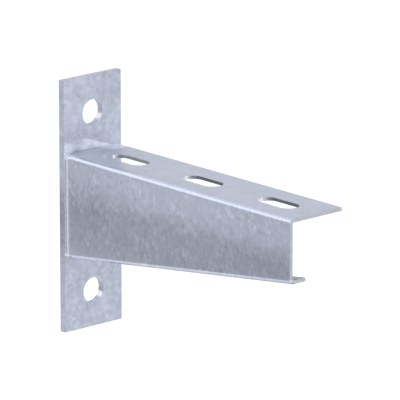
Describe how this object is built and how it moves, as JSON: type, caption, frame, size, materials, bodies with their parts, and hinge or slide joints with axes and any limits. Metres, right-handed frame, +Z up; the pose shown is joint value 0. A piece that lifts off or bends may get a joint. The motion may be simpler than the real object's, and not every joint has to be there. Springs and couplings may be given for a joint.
{
  "type": "cantilever bracket",
  "caption": "Galvanised cantilever bracket: a wall plate with bolt holes and a folded, tapering channel arm with slots in its flange.",
  "frame": {"origin": "middle of the wall plate's back face, half way between the wall bolts", "axes": "+X out from the wall along the arm, +Y across the plate towards the arm's open side, +Z up"},
  "size_m": [0.178, 0.04, 0.138],
  "materials": {
    "plate_zinc": "flat bar, hot-dip galvanised, pale mottled zinc",
    "sheet_zinc": "folded steel sheet, hot-dip galvanised, fine streaks along the run of the zinc",
    "weld_zinc": "fillet weld under zinc, brighter than the sheet"
  },
  "bodies": {
    "root": {"mounting_plate": "plate_zinc", "arm": "sheet_zinc", "web_weld": "weld_zinc", "flange_weld": "weld_zinc"}
  },
  "joints": []
}
